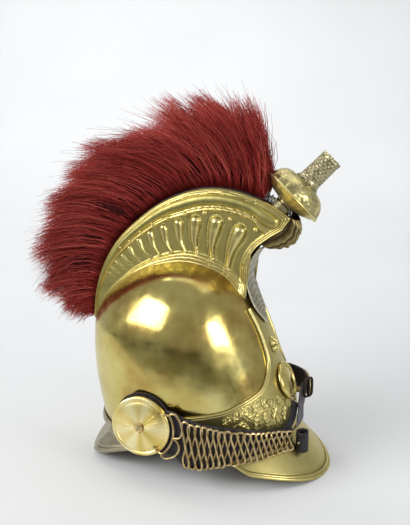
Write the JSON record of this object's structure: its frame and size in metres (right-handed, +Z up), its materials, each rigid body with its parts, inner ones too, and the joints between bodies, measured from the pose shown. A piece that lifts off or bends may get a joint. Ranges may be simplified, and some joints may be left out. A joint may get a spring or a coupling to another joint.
{
  "type": "crested brass helmet",
  "caption": "Crested brass helmet with peak, neck guard, stamped front plate, upright red hair crest, plume socket and wire chin chains on leather.",
  "frame": {"origin": "middle of the footprint's box, on the surface the helmet stands on", "axes": "+X to the front, along the peak; +Y to the wearer's left; +Z up"},
  "size_m": [0.3564, 0.2142, 0.4141],
  "materials": {
    "polished_brass": "polished sheet brass",
    "stamped_brass": "stamped sheet brass, satin with bright high spots",
    "aged_brass": "dulled grey-brown brass with relief",
    "wire_brass": "drawn brass wire, worn",
    "dark_steel": "blackened steel",
    "black_leather": "worn black leather, dull",
    "red_hair": "dyed red horsehair"
  },
  "bodies": {
    "root": {"skull": "polished_brass", "front_plate": "stamped_brass", "front_disc": "polished_brass", "peak": "polished_brass", "peak_edging": "polished_brass", "neck_guard": "polished_brass", "neck_guard_edging": "polished_brass", "crest_front": "aged_brass", "crest_cap": "aged_brass", "prow_palmette": "aged_brass", "hair_crest": "red_hair", "plume_stem": "aged_brass", "plume_bulb": "stamped_brass", "plume_tube": "aged_brass", "crest_side_right": "stamped_brass", "rosette_right": "polished_brass", "rosette_bolt_right": "dark_steel", "chin_chain_right": "wire_brass", "chin_lining_right": "black_leather", "crest_side_left": "stamped_brass", "rosette_left": "polished_brass", "rosette_bolt_left": "dark_steel", "chin_chain_left": "wire_brass", "chin_lining_left": "black_leather", "chin_strap": "black_leather", "chin_strap_end": "black_leather", "strap_keeper": "black_leather", "strap_buckle": "dark_steel"}
  },
  "joints": []
}
